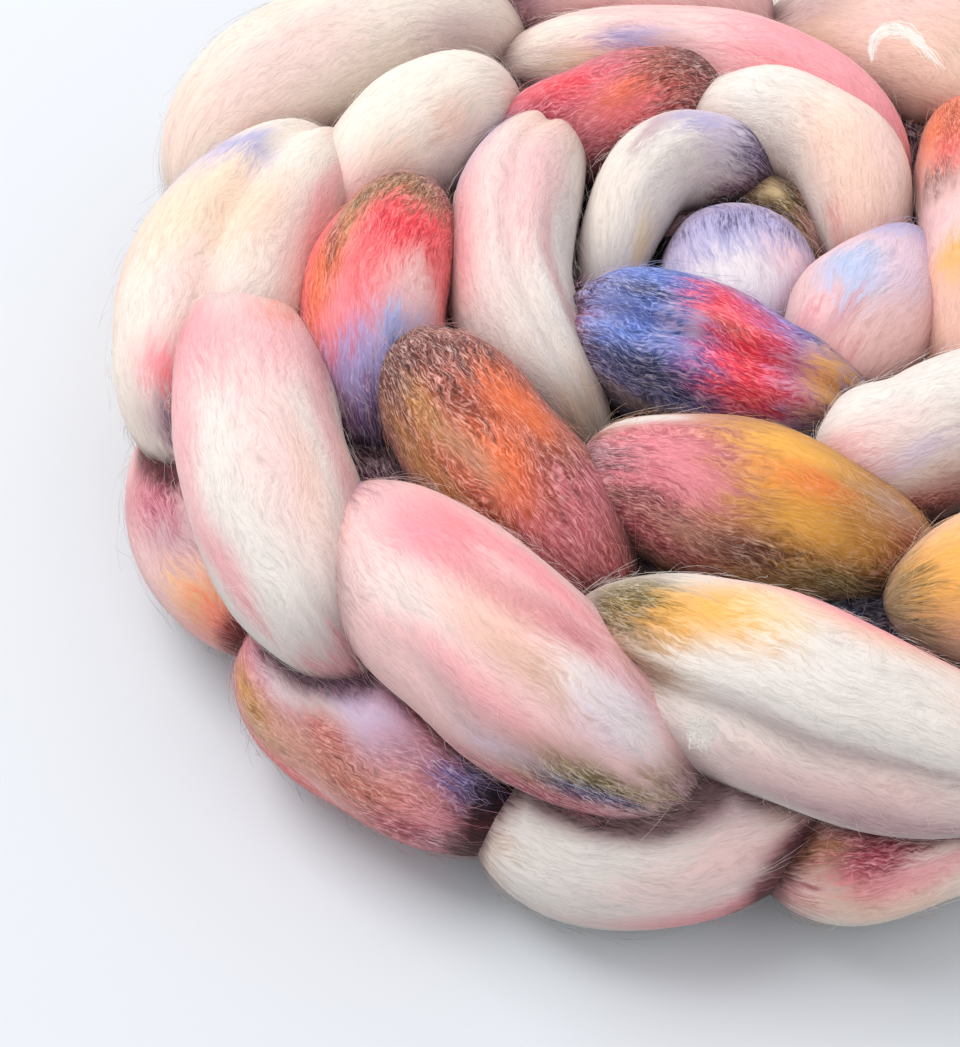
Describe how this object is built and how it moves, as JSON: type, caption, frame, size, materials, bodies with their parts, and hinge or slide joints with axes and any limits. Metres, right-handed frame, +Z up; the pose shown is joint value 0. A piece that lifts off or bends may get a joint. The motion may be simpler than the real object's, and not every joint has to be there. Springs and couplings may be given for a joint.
{
  "type": "plaited wool roving coil",
  "caption": "Chain-plaited strand of dyed combed wool wound into a flat spiral, with its rounded, arched loops overlapping in rows round the rim and inside it.",
  "frame": {"origin": "on the surface that the coil lies on, under the middle of its outline", "axes": "+Z up, away from the surface; +Y towards the side where the strand's loose end lies at the right, seen from above with +X to the right"},
  "size_m": [0.2371, 0.2408, 0.0623],
  "materials": {
    "wool": "matt, loose combed fibre, dyed in pale and bright patches"
  },
  "bodies": {
    "root": {"roving_coil": "wool"}
  },
  "joints": []
}
